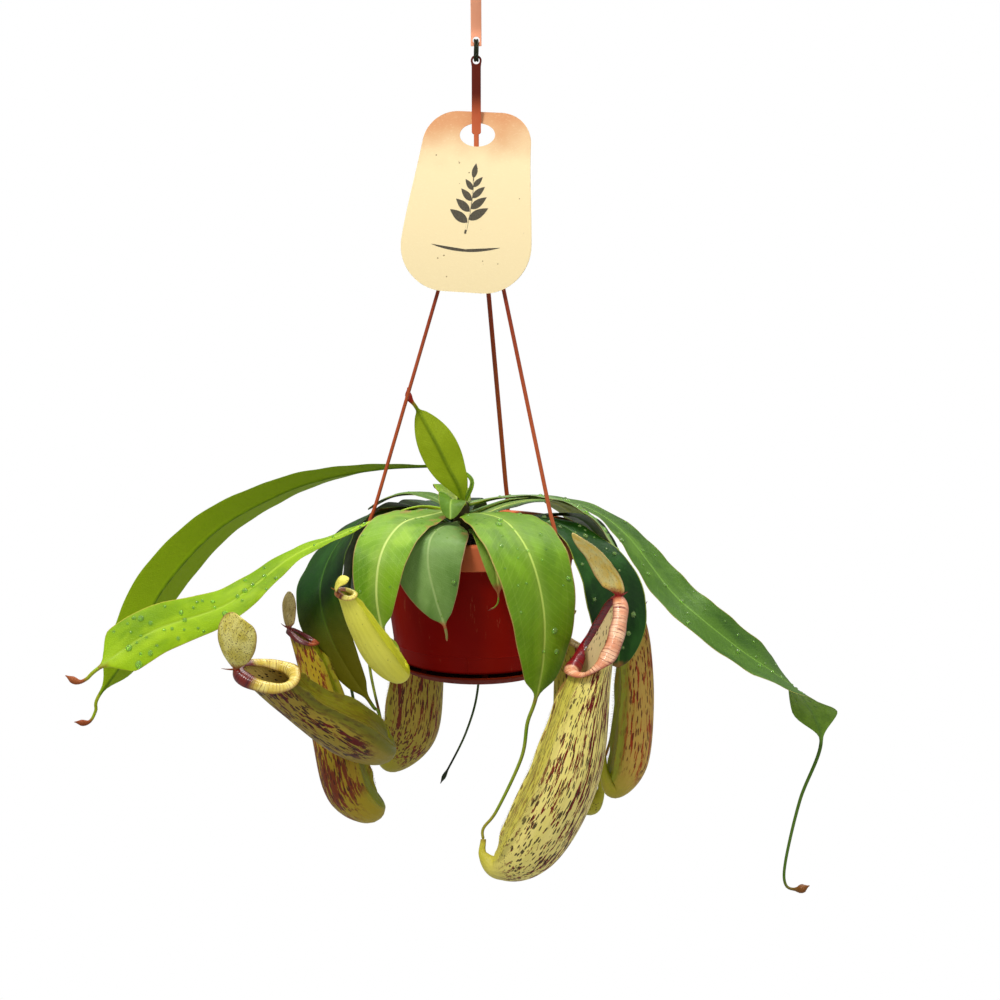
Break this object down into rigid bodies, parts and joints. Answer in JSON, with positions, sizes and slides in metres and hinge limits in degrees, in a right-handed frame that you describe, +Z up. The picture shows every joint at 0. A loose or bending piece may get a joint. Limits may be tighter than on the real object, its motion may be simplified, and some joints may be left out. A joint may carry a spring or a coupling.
{
  "type": "hanging pitcher plant",
  "caption": "Pitcher plant with long waxy leaves and lidded hollow pitchers in a round plastic pot with a saucer, hung on thin rods from a hook, with a plain card tag.",
  "frame": {"origin": "seat inside the top hook, where the plant hangs", "axes": "+Z up along the hanger, -Y towards the viewer of the picture, +X to the viewer's right"},
  "size_m": [0.5514, 0.2749, 0.6526],
  "materials": {
    "pot": "smooth moulded terracotta-coloured plastic, satin, with faint mould lines",
    "hanger": "smooth moulded plastic, lighter terracotta",
    "wire": "dark green plastic-coated wire",
    "card": "matt cream card with fine flecks",
    "soil": "damp dark peat with coarse crumbs",
    "stem": "dry brownish green stem",
    "leaf": "waxy green leaf with a light midrib, fine veins and water drops",
    "deep_leaf": "waxy very dark green leaf with water drops",
    "bright_leaf": "waxy lime-green leaf with water drops",
    "cup": "yellow-green pitcher wall with dark dashes and maroon streaks",
    "red_cup": "yellow-green pitcher wall with dense reddish-brown mottling",
    "young_cup": "pale yellow-green young pitcher with few dark specks",
    "lip": "glossy yellow ribbed lip with red stripes",
    "red_lip": "glossy salmon to dark red ribbed lip",
    "lid": "beige-brown speckled lid"
  },
  "bodies": {
    "root": {"pot": "pot", "saucer": "pot", "soil": "soil", "stem": "stem", "hanger_neck": "hanger", "hanger_hook": "hanger", "hanger_link": "wire", "tag": "card", "rod_left": "hanger", "rod_right": "hanger", "rod_rear": "hanger", "pitcher_front_cup": "cup", "pitcher_front_lip": "red_lip", "pitcher_front_lid": "lid", "pitcher_left_cup": "cup", "pitcher_left_lip": "lip", "pitcher_left_lid": "lid", "pitcher_young_cup": "young_cup", "pitcher_young_lip": "lip", "pitcher_young_lid": "young_cup", "pitcher_low_left_cup": "red_cup", "pitcher_low_left_lip": "red_lip", "pitcher_low_left_lid": "lid", "pitcher_behind_cup": "cup", "pitcher_behind_lip": "lip", "pitcher_behind_lid": "lid", "pitcher_right_cup": "red_cup", "pitcher_right_lip": "red_lip", "pitcher_right_lid": "lid", "pitcher_back_cup": "cup", "pitcher_back_lip": "lip", "pitcher_back_lid": "lid", "leaf_back_left_long": "bright_leaf", "leaf_left_long": "bright_leaf", "leaf_young_upright": "bright_leaf", "leaf_back_small": "bright_leaf", "leaf_front_left": "leaf", "leaf_front_round": "leaf", "leaf_small_curled": "leaf", "leaf_front_large": "leaf", "leaf_front_narrow": "leaf", "leaf_top_right": "leaf", "leaf_right_long": "leaf", "leaf_back_left_short": "leaf", "leaf_back_right": "leaf", "leaf_left_dark": "deep_leaf", "leaf_right_dark": "deep_leaf", "leaf_left_hidden": "deep_leaf", "leaf_behind": "deep_leaf", "leaf_right_hidden": "deep_leaf", "leaf_tail": "deep_leaf"}
  },
  "joints": []
}
